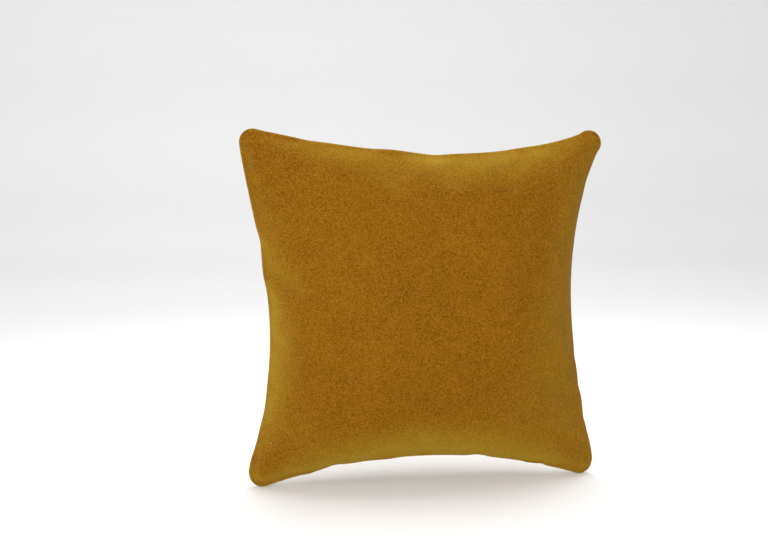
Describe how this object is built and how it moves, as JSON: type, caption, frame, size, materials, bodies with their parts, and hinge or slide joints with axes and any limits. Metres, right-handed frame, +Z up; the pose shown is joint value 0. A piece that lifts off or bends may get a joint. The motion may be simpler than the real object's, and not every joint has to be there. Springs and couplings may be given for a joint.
{
  "type": "throw pillow",
  "caption": "Square velvet throw pillow: two-panel cover with concave sides and soft ears, concealed zip, fibre-filled insert.",
  "frame": {"origin": "under the middle of the lower edge, on the level of the two lower ears' tips, in the plane of the seam", "axes": "+X to the right across the front, +Y through the thickness from the front panel to the back, +Z up in the upright pose"},
  "size_m": [0.44, 0.14, 0.44],
  "materials": {
    "velvet": "short dense mustard pile, soft sheen towards the rims",
    "thread": "matt polyester thread, colour matched to the cover",
    "white_thread": "matt cotton thread",
    "zip_tape": "flat woven tape",
    "zip_coil": "satin monofilament",
    "zip_metal": "satin lacquered zinc",
    "cotton": "plain woven cotton",
    "fibre": "loose white polyester fibre",
    "label_tape": "blank woven satin tape"
  },
  "bodies": {
    "cushion": {"cover_front_panel": "velvet", "cover_back_panel": "velvet", "cover_seam_thread": "thread", "cover_overlock": "thread", "care_label": "label_tape", "zip_tape_front": "zip_tape", "zip_tape_back": "zip_tape", "zip_coil_front": "zip_coil", "zip_coil_back": "zip_coil", "zip_bottom_stop": "zip_metal", "zip_top_stops": "zip_metal", "zip_stitching": "thread", "zip_tack_closed_end": "thread", "zip_tack_open_end": "thread", "insert_shell_front": "cotton", "insert_shell_back": "cotton", "insert_filling": "fibre", "insert_seam_thread": "white_thread", "insert_closing_stitch": "white_thread", "insert_label": "label_tape"},
    "slider": {"zip_slider": "zip_metal"},
    "pull": {"zip_pull_tab": "zip_metal"}
  },
  "joints": [
    {"name": "zip_slide", "type": "hinge", "parent": "cushion", "child": "slider", "pos_m": [0, 0, -0.61825], "axis": [0, -1, 0], "range_deg": [0, 24.72]},
    {"name": "pull_swing", "type": "hinge", "parent": "slider", "child": "pull", "pos_m": [0.1407, 0, 0.02325], "axis": [0, -1, 0], "range_deg": [0, 150]}
  ]
}
